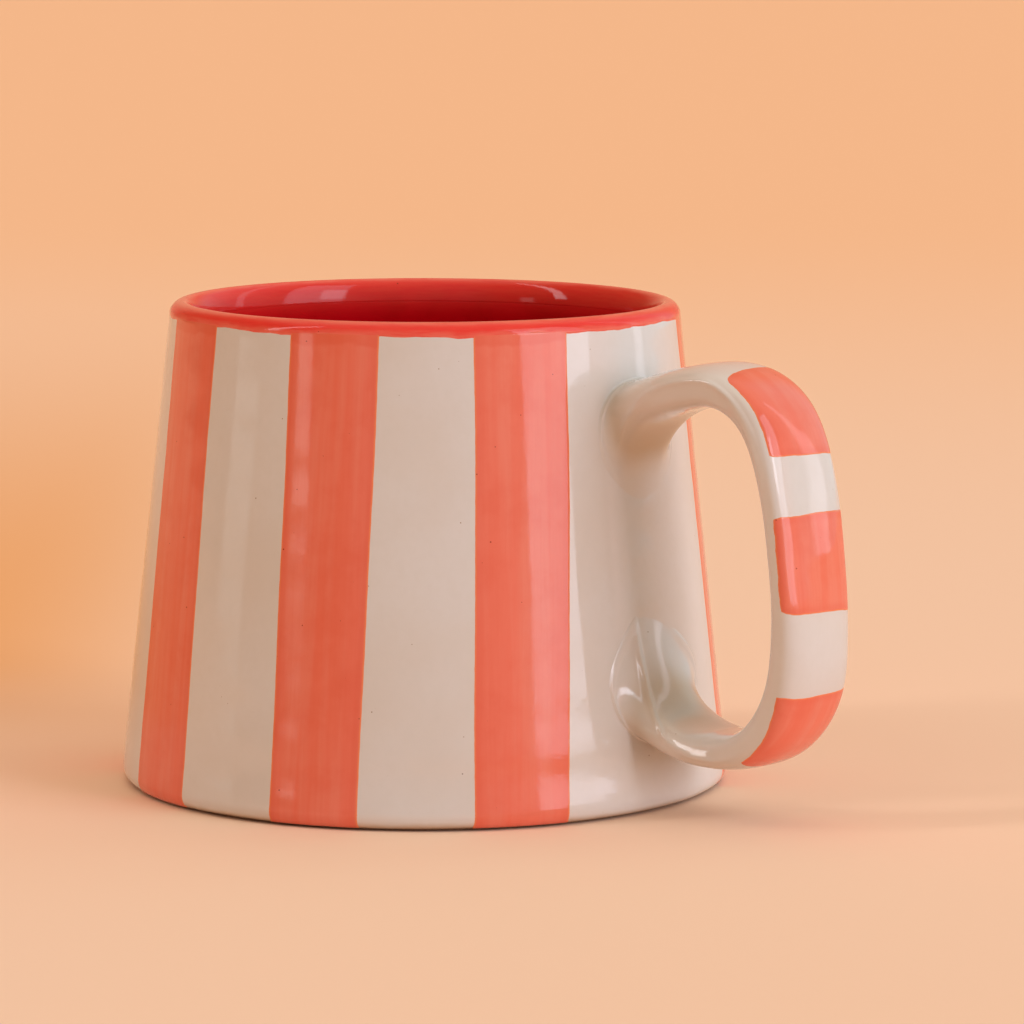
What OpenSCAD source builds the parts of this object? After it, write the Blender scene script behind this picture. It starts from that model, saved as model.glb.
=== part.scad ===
// Striped stoneware mug: a thrown tapered cup, a pulled strap handle luted on with slip,
// a coloured liner glaze, a rim band, a pale outer glaze and brushed colour stripes.
// The origin is the centre of the foot ring. +Z is up and the handle points along +X.

/* [Cup] */
// Height over the glazed rim
cup_h = 82; // [76:1:90]
// Outside diameter at the rim, over the glaze
rim_d = 86; // [80:1:92]
// Outside diameter where the wall line meets the table, over the glaze
base_d = 103.8; // [98:0.2:108]
// Thickness of the clay wall
wall_t = 4; // [3:0.25:5]
// Thickness of the clay floor, from the table to the inside
floor_t = 5; // [4:0.5:7]
// Radius of the outer corner at the foot
foot_round = 2.5; // [2:0.25:4]
// Radius of the inner corner at the floor
floor_round = 9; // [6:1:14]
// Radius of the shallow recess under the cup
recess_r = 41; // [30:1:44]
// Depth of the shallow recess under the cup
recess_h = 1.5; // [0.8:0.1:2]

/* [Handle] */
// Width of the strap
strap_w = 17.8; // [14:0.1:20]
// Thickness of the strap halfway along
strap_t = 4.7; // [4:0.1:6]
// Thickness of the strap at its upper joint
strap_t_top = 6.8; // [5:0.1:7.5]
// Thickness of the strap at its lower bend
strap_t_low = 6.4; // [5:0.1:7.5]
// How far the strap stands further out than its drawn path
strap_shift = 0; // [-1:0.25:3]
// Width of the upper luted joint
upper_joint_w = 20.4; // [20:0.2:24]
// Height of the upper luted joint
upper_joint_h = 20.4; // [18:0.2:20.4]
// Height of the middle of the upper joint above the table
upper_joint_z = 62.3; // [60:0.1:64]
// Width of the lower luted joint
lower_joint_w = 24.6; // [22:0.2:26]
// Height of the lower luted joint
lower_joint_h = 20.4; // [18:0.2:22]
// Height of the middle of the lower joint above the table
lower_joint_z = 21.7; // [20:0.1:24]

/* [Glaze] */
// Thickness of the glaze coats
glaze_t = 0.3; // [0.2:0.05:0.5]
// Thickness of the brushed colour over the glaze
paint_t = 0.15; // [0.1:0.05:0.3]
// How far the rim band comes down outside
rim_band_h = 2.4; // [2.2:0.1:6]
// How far the rim band comes down inside
rim_band_in = 4; // [3:0.5:8]
// Bare clay left above the table
bare_h = 0.4; // [0.3:0.1:1.5]

/* [Hidden] */
$fn = 96;
// Direction of each stripe at the rim and at the table, from +X, and its width
STRIPES = [
    [35, 34.5, 16.2],
    [77, 77.5, 16.6],
    [119, 120, 15.8],
    [161, 163, 16.4],
    [203, 206, 16],
    [245, 248, 16],
    [288, 287, 15.6],
    [329.5, 326, 16.6]
];
// Middle line of the strap as [x, z], from the upper joint to the lower one
STRAP_PATH = [
    [57, 71.9], [62, 72.6], [67, 71.6], [72.2, 67.8], [75.1, 62.5], [76.6, 56.5], [77.85, 49],
    [78.85, 41], [79.6, 33], [79.4, 25], [77.3, 18.5], [73, 13.5], [68, 11.6], [62, 11.5]
];
// Rings of the strap between two points of its path
STRAP_STEPS = 3;
// First and last ring of each colour band on the strap
BANDS = [[5, 12], [17, 23], [28, 34]];

// Clay sizes, under the glaze
clay_h = cup_h - glaze_t;
clay_base_r = base_d / 2 - glaze_t;
clay_rim_r = rim_d / 2 - glaze_t;
lean = atan((clay_base_r - clay_rim_r) / cup_h);
lip_r = wall_t / 2;
band_z = cup_h - rim_band_h;
band_in_z = cup_h - rim_band_in;

// Where along the strap it is thinnest, and how slowly its thickness changes below that
THINNEST = 0.43;
LOW_SPAN = 0.74;
// Where along the strap its inner edges start to round off
SOFT_FROM = 0.7;
// Points round the strap's section, the exponents that square its outer and inner edges, and its
// colour limits
SIDES = 30;
SQUARE_OUT = 2.7;
SQUARE_IN = 4;
BAND_FROM = 1;
BAND_TO = 14;
// Rings in each flared end, and how far its curve follows the strap and the wall
FLARE_RINGS = 7;
STRAP_PULL = 0.6;
WALL_PULL = 0.45;
// Rings across the foot of each flared end
CAP_SCALES = [0.33, 0.67];
// Air between the faceted handle and the true cone of the wall
SEAT_GAP = 0.05;
STRAP_RINGS = (len(STRAP_PATH) - 1) * STRAP_STEPS;
LAST_RING = STRAP_RINGS + 2 * FLARE_RINGS;

// ---- Cup outlines -------------------------------------------------------------------------

// Radius of the clay wall's outside at height z, moved out by d along its normal
function wall_r(z, d = 0) =
    clay_base_r - (clay_base_r - clay_rim_r) * z / cup_h + d / cos(lean);

function arc(centre, r, from, to, n = 8) =
    [for (i = [0 : n]) let (a = from + (to - from) * i / n) centre + r * [cos(a), sin(a)]];

function reversed(list) = [for (i = [len(list) - 1 : -1 : 0]) list[i]];

// Centres of the arcs at the foot, at the inner floor corner and at the lip
foot_c = [clay_base_r - foot_round * (1 + sin(lean)) / cos(lean), foot_round];
floor_z = floor_t + floor_round;
floor_c = [wall_r(floor_z, -wall_t - floor_round), floor_z];
lip_c = [wall_r(clay_h - lip_r, -lip_r), clay_h - lip_r];

// Outside of the cup from height z0 to height z1, moved out by d
function outside(d, z0, z1) = concat(
    arc(foot_c, foot_round + d, asin((z0 - foot_round) / (foot_round + d)), lean),
    [[wall_r(z1, d), z1]]
);

// Inside of the cup from the middle of the floor up to height z1, moved in by d
function inside(d, z1) = concat(
    [[0, floor_t + d]],
    arc(floor_c, floor_round - d, -90, lean),
    [[wall_r(z1, -wall_t - d), z1]]
);

function lip(d) = arc(lip_c, lip_r + d, lean, lean + 180, 14);

// A coat on the outside of the cup, between two distances from the clay
module coat(d0, d1, z0, z1) {
    rotate_extrude()
        polygon(concat(outside(d1, z0, z1), reversed(outside(d0, z0, z1))));
}

// The footprint of a luted joint, run through the wall along +X
module joint_plug(w, h, z) {
    reach = base_d;
    translate([0, 0, z])
        rotate([90, 0, 90])
            linear_extrude(reach) {
                translate([(w - h) / 2, 0])
                    circle(d = h);
                if (w > h) {
                    translate([-(w - h) / 2, 0])
                        circle(d = h);
                    square([w - h, h], center = true);
                }
            }
}

// ---- Handle surface -----------------------------------------------------------------------

// A point at parameter t between points b and c of a smooth line through a, b, c and d
function through(a, b, c, d, t) =
    b + t / 2 * (c - a + t * (2 * a - 5 * b + 4 * c - d + t * (3 * b - a - 3 * c + d)));

// A point of the strap path, carried straight on past each end
function path_point(i) =
    let (n = len(STRAP_PATH) - 1)
    i < 0 ? 2 * STRAP_PATH[0] - STRAP_PATH[1]
    : i > n ? 2 * STRAP_PATH[n] - STRAP_PATH[n - 1]
    : STRAP_PATH[i];

// The middle line at strap ring k
function middle(k) =
    let (u = k / STRAP_STEPS, i = min(floor(u), len(STRAP_PATH) - 2))
    through(path_point(i - 1), path_point(i), path_point(i + 1), path_point(i + 2), u - i)
    + [strap_shift, 0];

// Direction of the middle line at strap ring k, as [x, z]
function direction(k) =
    let (step = middle(min(k + 0.5, STRAP_RINGS)) - middle(max(k - 0.5, 0)))
    step / norm(step);

function squared(c, square) = sign(c) * pow(abs(c), 2 / square);

// Thickness of the strap at ring k
function thickness(k) =
    let (bend = 180 * (k / STRAP_RINGS - THINNEST))
    bend < 0 ? strap_t + (strap_t_top - strap_t) * pow(sin(bend), 2)
    : strap_t + (strap_t_low - strap_t) * pow(sin(bend / LOW_SPAN), 3);

// How much rounder the inner edges are at ring k
function softness(k) =
    let (t = max(0, k / STRAP_RINGS - SOFT_FROM) / (1 - SOFT_FROM))
    t * t * (3 - 2 * t);

// A point on the strap at ring k and side j, moved out by d. Where the strap is thicker, the extra
// lies on its inner face.
function strap_point(k, j, d) =
    let (
        a = 360 * j / SIDES,
        square = sin(a) > 0 ? SQUARE_OUT : SQUARE_IN - softness(k) * (1.3 + 0.3 * cos(a)),
        t = thickness(k),
        across = (strap_w / 2 + d) * squared(cos(a), square),
        out = (t / 2 + d) * squared(sin(a), square) + (strap_t - t) / 2,
        m = middle(k),
        dir = direction(k)
    )
    [m.x - dir.y * out, across, m.y + dir.x * out];

// The seat of the handle on the wall: y and z on its outline, shrunk by a scale towards its middle
function seat_yz(upper, j, d, k = 1) =
    let (
        a = 360 * j / SIDES,
        w = upper ? upper_joint_w : lower_joint_w,
        h = upper ? upper_joint_h : lower_joint_h,
        z = upper ? upper_joint_z : lower_joint_z,
        r = h / 2 - glaze_t + d,
        side = (abs(cos(a)) < 0.01 ? 0 : sign(cos(a))) * (w - h) / 2
    )
    [k * (side + r * cos(a)), z + k * (upper ? 1 : -1) * r * sin(a)];

// A point on the finished wall at the given y and z
function on_wall(yz, d = 0) =
    [sqrt(pow(wall_r(yz[1], glaze_t + SEAT_GAP), 2) - yz[0] * yz[0]) + d, yz[0], yz[1]];

function bezier(p, q, r, s, t) =
    pow(1 - t, 3) * p + 3 * t * pow(1 - t, 2) * q + 3 * t * t * (1 - t) * r + pow(t, 3) * s;

// A point on a flared end, from the wall at t = 0 to the strap at t = 1
function flare_point(upper, t, j, d) =
    let (
        k = upper ? 0 : STRAP_RINGS,
        strap = strap_point(k, j, d),
        dir = direction(k) * (upper ? -1 : 1),
        seat = seat_yz(upper, j, d),
        wall = on_wall(seat),
        along = on_wall(seat + WALL_PULL * ([strap.y, strap.z] - seat), d),
        pull = STRAP_PULL * (strap.x - wall.x),
        leave = strap + pull * [dir.x, 0, dir.y]
    )
    bezier(wall, along, leave, strap, t);

// A point of the whole handle at ring i and side j, moved out by d
function handle_point(i, j, d) =
    i < FLARE_RINGS ? flare_point(true, i / FLARE_RINGS, j, d)
    : i > FLARE_RINGS + STRAP_RINGS ? flare_point(false, (LAST_RING - i) / FLARE_RINGS, j, d)
    : strap_point(i - FLARE_RINGS, j, d);

function handle_ring(i, d) = [for (j = [0 : SIDES - 1]) handle_point(i, j, d)];

function seat_ring(upper, k) = [for (j = [0 : SIDES - 1]) on_wall(seat_yz(upper, j, 0, k))];

// Triangles between ring a and ring b of n points each, closed round the ring
function belt(a, b, n) = [
    for (j = [0 : n - 1])
        let (k = (j + 1) % n)
        each [[a * n + j, b * n + j, b * n + k], [a * n + j, b * n + k, a * n + k]]
];

// ---- Clay ---------------------------------------------------------------------------------

module cup_body() {
    underside = [
        [0, recess_h],
        [recess_r - recess_h, recess_h],
        [recess_r, 0]
    ];
    color("tan")
        rotate_extrude()
            polygon(concat(
                underside,
                arc(foot_c, foot_round, -90, lean),
                lip(0),
                reversed(inside(0, band_in_z))
            ));
}

// The pulled strap with both flared ends, seated on the slip
module handle_strap() {
    rings = concat(
        [for (k = CAP_SCALES) seat_ring(true, k)],
        [for (i = [0 : LAST_RING]) handle_ring(i, 0)],
        [for (k = reversed(CAP_SCALES)) seat_ring(false, k)]
    );
    count = len(rings);
    tips = [on_wall([0, upper_joint_z]), on_wall([0, lower_joint_z])];
    first_tip = count * SIDES;
    color("tan")
        polyhedron(
            points = concat([for (r = rings) each r], tips),
            faces = concat(
                [for (i = [0 : count - 2]) each belt(i, i + 1, SIDES)],
                [for (j = [0 : SIDES - 1]) [first_tip, j, (j + 1) % SIDES]],
                [
                    for (j = [0 : SIDES - 1])
                        [first_tip + 1, (count - 1) * SIDES + (j + 1) % SIDES, (count - 1) * SIDES + j]
                ]
            )
        );
}

module upper_luting_slip() {
    color("sienna")
        intersection() {
            coat(0, glaze_t, bare_h, band_z);
            joint_plug(upper_joint_w, upper_joint_h, upper_joint_z);
        }
}

module lower_luting_slip() {
    color("sienna")
        intersection() {
            coat(0, glaze_t, bare_h, band_z);
            joint_plug(lower_joint_w, lower_joint_h, lower_joint_z);
        }
}

// ---- Glaze --------------------------------------------------------------------------------

module liner_glaze() {
    color("firebrick")
        rotate_extrude()
            polygon(concat(inside(0, band_in_z), reversed(inside(glaze_t, band_in_z))));
}

module rim_band_glaze() {
    color("crimson")
        rotate_extrude()
            polygon(concat(
                [[wall_r(band_z, glaze_t), band_z]],
                lip(glaze_t),
                [
                    [wall_r(band_in_z, -wall_t - glaze_t), band_in_z],
                    [wall_r(band_in_z, -wall_t), band_in_z]
                ],
                reversed(lip(0)),
                [[wall_r(band_z), band_z]]
            ));
}

// The pale coat outside, left open where the handle is luted on
module outer_glaze() {
    color("antiquewhite")
        difference() {
            coat(0, glaze_t, bare_h, band_z);
            joint_plug(upper_joint_w, upper_joint_h, upper_joint_z);
            joint_plug(lower_joint_w, lower_joint_h, lower_joint_z);
        }
}

module underside_glaze() {
    edge = 1;
    color("antiquewhite")
        translate([0, 0, recess_h - glaze_t])
            cylinder(r = recess_r - recess_h - edge, h = glaze_t);
}

// One brushed stripe of even width that leans a little as it goes down
module wall_stripe(s) {
    middle_a = (s[0] + s[1]) / 2;
    top_y = wall_r(band_z) * sin(s[0] - middle_a);
    low_y = wall_r(0) * sin(s[1] - middle_a);
    half_w = s[2] / 2;
    color("salmon")
        intersection() {
            coat(glaze_t, glaze_t + paint_t, bare_h, band_z);
            rotate([90, 0, 90 + middle_a])
                linear_extrude(base_d)
                    polygon([
                        [low_y - half_w, 0],
                        [low_y + half_w, 0],
                        [top_y + half_w, band_z],
                        [top_y - half_w, band_z]
                    ]);
        }
}

// The pale coat all round the handle, open at both seats
module handle_glaze() {
    rings = concat(
        [for (i = [0 : LAST_RING]) handle_ring(i, glaze_t)],
        [for (i = [LAST_RING : -1 : 0]) handle_ring(i, 0)]
    );
    count = len(rings);
    color("antiquewhite")
        polyhedron(
            points = [for (r = rings) each r],
            faces = [for (i = [0 : count - 1]) each belt(i, (i + 1) % count, SIDES)]
        );
}

// One colour band across the outer face of the strap
module handle_band(b) {
    rows = [
        for (k = [b[0] : b[1]])
            concat(
                [for (j = [BAND_FROM : BAND_TO]) strap_point(k, j, glaze_t + paint_t)],
                [for (j = [BAND_TO : -1 : BAND_FROM]) strap_point(k, j, glaze_t)]
            )
    ];
    n = len(rows[0]);
    last = (len(rows) - 1) * n;
    color("salmon")
        polyhedron(
            points = [for (r = rows) each r],
            faces = concat(
                [for (i = [0 : len(rows) - 2]) each belt(i, i + 1, n)],
                [for (j = [0 : n / 2 - 2]) each [[j, j + 1, n - 1 - j], [j + 1, n - 2 - j, n - 1 - j]]],
                [
                    for (j = [0 : n / 2 - 2])
                        each [
                            [last + j + 1, last + j, last + n - 1 - j],
                            [last + n - 2 - j, last + j + 1, last + n - 1 - j]
                        ]
                ]
            )
        );
}

cup_body();
handle_strap();
upper_luting_slip();
lower_luting_slip();
liner_glaze();
rim_band_glaze();
outer_glaze();
underside_glaze();
for (i = [1 : len(STRIPES)])
    wall_stripe(STRIPES[i - 1]);
handle_glaze();
for (i = [1 : len(BANDS)])
    handle_band(BANDS[i - 1]);
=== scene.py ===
# Looks of the striped stoneware mug: its glaze coats, brushed colour and luted strap handle.
#
# Every piece is a closed mesh made from two surfaces: the wall of the cup, turned round the Z axis,
# and the strap, swept along its middle line. Lengths are in millimetres until make_piece turns them
# into metres, and angles round the cup are in radians from +X, where the handle is. Places and
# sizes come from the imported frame.

import math

import bmesh
import bpy
import numpy as np
from mathutils import Matrix, Vector


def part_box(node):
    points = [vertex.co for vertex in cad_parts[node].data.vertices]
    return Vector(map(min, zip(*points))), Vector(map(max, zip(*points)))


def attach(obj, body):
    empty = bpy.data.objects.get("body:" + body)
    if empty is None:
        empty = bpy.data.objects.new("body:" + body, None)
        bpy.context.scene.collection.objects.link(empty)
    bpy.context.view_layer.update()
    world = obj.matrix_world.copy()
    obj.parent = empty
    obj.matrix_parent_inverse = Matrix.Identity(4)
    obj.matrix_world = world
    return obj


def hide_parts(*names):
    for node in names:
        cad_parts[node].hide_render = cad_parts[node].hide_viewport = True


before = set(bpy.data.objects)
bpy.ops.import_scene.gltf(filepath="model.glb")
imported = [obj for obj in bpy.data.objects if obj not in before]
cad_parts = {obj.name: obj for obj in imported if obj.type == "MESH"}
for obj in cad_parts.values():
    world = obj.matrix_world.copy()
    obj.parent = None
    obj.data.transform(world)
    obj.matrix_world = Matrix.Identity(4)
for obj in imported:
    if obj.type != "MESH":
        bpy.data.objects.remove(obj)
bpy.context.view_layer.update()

MM = 0.001
TURN = 2 * math.pi
UP = TURN / 4  # direction of straight up in an [r, z] outline


def box_mm(node):
    """Lowest and highest corners of a CAD node, in millimetres."""
    low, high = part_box(node)
    return np.array(low) / MM, np.array(high) / MM


# ---- Sizes of the cup, from the frame -------------------------------------------------------

COAT = 0.3  # thickness of a glaze coat
STROKE = 0.07  # thickness of brushed colour
STROKE_SUNK = 0.03  # how far the colour's thin edge lies under the coat's surface
STROKE_EDGE = 0.35  # how far in from that edge the colour is at its full thickness
SUNK = 0.12  # how far the hidden back of a stroke lies under the coat's surface
RED_OVER = 0.012  # how far the rim band stands off the liner
UNDER_BAND = 1.2  # how far the outer coat and the liner go on under the rim band
BAND_SIDE = 1.2  # height of the rim band's lower part, which lies along the wall
WALL = 4.0  # clay wall
FOOT_ROUND = 2.5  # outer corner of the clay at the foot
FLOOR_ROUND = 9.0  # inner corner of the clay at the floor
FLAT_R = 30  # radius of the flat middle of the floor inside

CUP_TOP = box_mm("rim_band_glaze")[1][2]
BAND_LOW = box_mm("outer_glaze")[1][2]  # lower edge of the rim band outside
BAND_LOW_IN = box_mm("rim_band_glaze")[0][2]  # and inside
BARE = box_mm("outer_glaze")[0][2]  # bare clay under the outer coat
FLOOR = box_mm("liner_glaze")[0][2]
RECESS_R = box_mm("underside_glaze")[1][0]
RECESS_TOP = box_mm("underside_glaze")[1][2]
CLAY_TOP = CUP_TOP - COAT
LIP_R = WALL / 2


def wall_line():
    """The clay wall's lean from upright, and its radius where its line meets the table."""
    top_r = box_mm("rim_band_glaze")[1][0]
    wide_r = box_mm("outer_glaze")[1][0]
    lean = 0.0
    for _ in range(20):
        wide_z = FOOT_ROUND + (FOOT_ROUND + COAT) * math.sin(lean)
        lean = math.atan((wide_r - top_r) / (BAND_LOW - wide_z))
    return lean, top_r + BAND_LOW * math.tan(lean) - COAT / math.cos(lean)


LEAN, BASE_R = wall_line()


def cone_r(z, out=0.0):
    """Radius of the clay wall's line at height z, moved out by a distance."""
    return BASE_R - z * math.tan(LEAN) + out / math.cos(LEAN)


FOOT_C = (BASE_R - FOOT_ROUND * (1 + math.sin(LEAN)) / math.cos(LEAN), FOOT_ROUND)
LIP_C = (cone_r(CLAY_TOP - LIP_R, -LIP_R), CLAY_TOP - LIP_R)
CORNER_C = (cone_r(FLOOR + FLOOR_ROUND, -WALL - FLOOR_ROUND), FLOOR + FLOOR_ROUND)


def round_r(z, centre, r):
    """Outer radius at height z of a round corner about a centre."""
    rise = np.clip(z - centre[1], -r, r)
    return centre[0] + np.sqrt(r * r - rise * rise)


def wall_r(z, out=0.0):
    """Radius of the clay's outside at height z, with its round foot and lip, moved out by a distance."""
    z, out = np.asarray(z, float), np.asarray(out, float)
    foot = round_r(z, FOOT_C, FOOT_ROUND + out)
    lip = round_r(z, LIP_C, LIP_R + out)
    foot_end = FOOT_C[1] + (FOOT_ROUND + out) * math.sin(LEAN)
    lip_start = LIP_C[1] + (LIP_R + out) * math.sin(LEAN)
    return np.where(z < foot_end, foot, np.where(z > lip_start, lip, cone_r(z, out)))


INNER_LIP = 4.8  # height of the soft curve from the inner wall to the top of the lip
LIP_OUT = COAT + STROKE - STROKE_SUNK  # how far the lip's red surface stands off the clay


def inner_lip(under):
    """The inner lip's curve, a distance under the red surface.

    Its middle height, its two radii, and the rise from the middle to where it meets the wall.
    """
    middle = LIP_C[1] + LIP_R + LIP_OUT - INNER_LIP
    high = INNER_LIP - under
    deep = LIP_C[0] - cone_r(middle, under - WALL - COAT - RED_OVER)
    lean = math.tan(LEAN)
    wide = math.sqrt(deep**2 - (lean * high) ** 2)
    return middle, wide, high, -lean * high**2 / deep


def inner_r(z, under):
    """Radius of the cup's inside at height z, a distance under the red surface."""
    middle, wide, high, meets = inner_lip(under)
    rise = np.asarray(z, float) - middle
    curve = LIP_C[0] - wide * np.sqrt(np.clip(1 - (rise / high) ** 2, 0, 1))
    return np.where(rise < meets, cone_r(z, under - WALL - COAT - RED_OVER), curve)


def inner_bow(under, low, count):
    """Points [r, z] of the inner lip, from its top down to height low."""
    middle, wide, high, _ = inner_lip(under)
    turn = np.linspace(UP, math.pi - math.asin((low - middle) / high), count)
    return np.stack([LIP_C[0] + wide * np.cos(turn), middle + high * np.sin(turn)], -1)


# ---- Hand-made unevenness --------------------------------------------------------------------

def wave(x, length, seed, octaves=4):
    """A smooth random wave of about unit height along x, the same in every run."""
    rng = np.random.default_rng(seed)
    total = np.zeros(np.shape(x))
    for k in range(octaves):
        step = length / 1.83**k
        total += np.sin(TURN * (x / step + rng.random())) * (0.8 + 0.4 * rng.random()) / 1.5**k
    return total / 1.6


def throwing(points):
    """The thrown wall's slow waves and faint rings, added to points of the cup and its handle."""
    x, y, z = points[..., 0], points[..., 1], points[..., 2]
    turn = np.arctan2(y, x)
    r = np.hypot(x, y)
    waves = 0.07 * np.sin(2 * turn + 0.4) + 0.05 * np.sin(3 * turn + z / 19 + 1.7)
    waves += 0.035 * np.sin(5 * turn - z / 14 + 0.9) + 0.022 * np.sin(8 * turn + z / 11)
    rings = 0.022 * np.sin(z / 1.55 + 0.8 * np.sin(turn)) * (0.5 + 0.5 * np.sin(z / 9 + 1))
    hold = np.clip((r - 12) / 20, 0, 1) * np.clip((70 - r) / 12, 0, 1) * np.clip(z / 6, 0, 1)
    push = (waves + rings) * hold / np.maximum(r, 1)
    return points + np.stack([x * push, y * push, 0 * z], -1)


# ---- Mesh making -----------------------------------------------------------------------------

def grid_faces(rows, columns, wrap_rows=False, wrap_columns=False):
    """Four-sided faces between the points of a grid stored row by row."""
    faces = []
    for i in range(rows if wrap_rows else rows - 1):
        for j in range(columns if wrap_columns else columns - 1):
            a, b = i * columns, (i + 1) % rows * columns
            k = (j + 1) % columns
            faces.append((a + j, a + k, b + k, b + j))
    return faces


def make_piece(name, points, faces, nodes, slot, material, layers=None):
    """A closed, smooth piece that rides on the mug and stands for CAD nodes."""
    mesh = bpy.data.meshes.new(name)
    mesh.from_pydata((throwing(points) * MM).tolist(), [], faces)
    for layer, values in (layers or {}).items():
        kind = "FLOAT_VECTOR" if values.ndim == 2 else "FLOAT"
        data = mesh.attributes.new(layer, kind, "POINT").data
        data.foreach_set("vector" if values.ndim == 2 else "value", values.astype(np.float32).ravel())
    build = bmesh.new()
    build.from_mesh(mesh)
    bmesh.ops.remove_doubles(build, verts=build.verts, dist=1e-7)
    bmesh.ops.recalc_face_normals(build, faces=build.faces)
    build.to_mesh(mesh)
    build.free()
    mesh.shade_smooth()
    mesh.materials.append(material)
    piece = bpy.data.objects.new(name, mesh)
    bpy.context.scene.collection.objects.link(piece)
    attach(piece, "root")
    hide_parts(*nodes)


def turned(profile, around=360):
    """Points and faces of a closed [r, z] outline turned round the axis."""
    r, z = np.repeat(np.array(profile, float).T[..., None], around, -1)
    points = ringed(r, z, np.arange(around) * TURN / around)
    return points.reshape(-1, 3), grid_faces(len(r), around, True, True)


def arc(centre, r, start, end, count):
    """Points [r, z] along a round stretch of an outline, between two directions."""
    a = np.linspace(start, end, count)
    return np.stack([centre[0] + r * np.cos(a), centre[1] + r * np.sin(a)], -1)


def line(a, b, count):
    """Points [r, z] along a straight stretch of an outline."""
    return np.linspace(a, b, count)


def ringed(r, z, turn):
    """Points at radii r and heights z, in the directions turn round the axis."""
    return np.stack([r * np.cos(turn), r * np.sin(turn), z], -1)


def stroke_lift(to_edge):
    """How far brushed colour stands off the coat's surface, by the distance to the stroke's edge."""
    return STROKE * np.clip(to_edge / STROKE_EDGE, 0, 1) ** 0.5 - STROKE_SUNK


def sheet(front, back):
    """Points and faces of a closed thin piece, from its front and back grids."""
    rows, columns = front.shape[:2]
    points = np.concatenate([front.reshape(-1, 3), back.reshape(-1, 3)])
    faces = grid_faces(rows, columns)
    size = rows * columns
    faces += [tuple(size + k for k in reversed(f)) for f in faces]
    edge = [(0, j) for j in range(columns)] + [(i, columns - 1) for i in range(1, rows)]
    edge += [(rows - 1, j) for j in range(columns - 2, -1, -1)] + [(i, 0) for i in range(rows - 2, 0, -1)]
    loop = [i * columns + j for i, j in edge]
    for a, b in zip(loop, loop[1:] + loop[:1]):
        faces.append((b, a, size + a, size + b))
    return points, faces


# ---- Materials -------------------------------------------------------------------------------

def add(tree, kind, inputs=None, **settings):
    """A shader node, with its settings and its inputs set to values or linked to sockets."""
    node = tree.nodes.new("ShaderNode" + kind)
    for name, value in settings.items():
        setattr(node, name, value)
    for key, value in (inputs or {}).items():
        if isinstance(value, bpy.types.NodeSocket):
            tree.links.new(value, node.inputs[key])
        else:
            node.inputs[key].default_value = value
    return node


def place_mm(tree):
    """Position on the mug, in millimetres."""
    where = add(tree, "TexCoord").outputs["Object"]
    return add(tree, "VectorMath", {0: where, "Scale": 1 / MM}, operation="SCALE").outputs[0]


def noise(tree, where, size, detail=3.0, roughness=0.5, distortion=0.0):
    """Soft random value from 0 to 1 whose features are about size millimetres."""
    shape = {"Scale": 1 / size, "Detail": detail, "Roughness": roughness, "Distortion": distortion}
    return add(tree, "TexNoise", {"Vector": where, **shape}).outputs["Fac"]


def between(tree, value, low, high, out_low=0.0, out_high=1.0):
    """Value taken smoothly from one range to another and held at its ends."""
    limits = {"From Min": low, "From Max": high, "To Min": out_low, "To Max": out_high}
    made = add(tree, "MapRange", {"Value": value, **limits}, interpolation_type="SMOOTHSTEP")
    return made.outputs["Result"]


def maths(tree, operation, a, b=0.0):
    """Result of a sum on one or two values."""
    return add(tree, "Math", {0: a, 1: b}, operation=operation).outputs[0]


def blend(tree, share, a, b):
    """Colour a where share is 0 and colour b where it is 1."""
    made = add(tree, "Mix", {"Factor": share}, data_type="RGBA")
    for index, value in ((6, a), (7, b)):
        if isinstance(value, bpy.types.NodeSocket):
            tree.links.new(value, made.inputs[index])
        else:
            made.inputs[index].default_value = (*value, 1)
    return made.outputs[2]


def specks(tree, where, cell, radius, share):
    """1 inside small round specks: one in some of the cells, each of its own size."""
    cells = add(tree, "TexVoronoi", {"Vector": where, "Scale": 1 / cell})
    pick = add(tree, "SeparateColor", {"Color": cells.outputs["Color"]})
    size = between(tree, pick.outputs["Green"], 0, 1, 0.45 * radius / cell, radius / cell)
    inside = maths(tree, "SUBTRACT", size, cells.outputs["Distance"])
    dot = between(tree, inside, 0, 0.25 * radius / cell)
    return maths(tree, "MULTIPLY", dot, maths(tree, "LESS_THAN", pick.outputs["Red"], share))


def new_material(name):
    """An empty material and its node tree."""
    material = bpy.data.materials.new(name)
    material.use_nodes = True
    material.node_tree.nodes.clear()
    return material, material.node_tree


def finish_glaze(tree, colour, where, roughness=(0.045, 0.11), shine=0.5):
    """Glossy glaze over a colour: faint orange peel, soft dips and a slightly uneven gloss."""
    peel = noise(tree, where, 1.1, 2.0)
    dips = noise(tree, where, 9.0, 1.0)
    fine = add(tree, "Bump", {"Height": peel, "Strength": 0.55, "Distance": 0.012 * MM}).outputs[0]
    slow = add(tree, "Bump", {"Height": dips, "Strength": 0.8, "Distance": 0.04 * MM, "Normal": fine})
    gloss = between(tree, noise(tree, where, 4.0, 4.0), 0.3, 0.7, *roughness)
    shader = add(
        tree,
        "BsdfPrincipled",
        {
            "Base Color": colour,
            "Roughness": gloss,
            "Normal": slow.outputs[0],
            "IOR": 1.5,
            "Specular IOR Level": shine,
        },
    )
    add(tree, "OutputMaterial", {"Surface": shader.outputs[0]})


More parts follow.
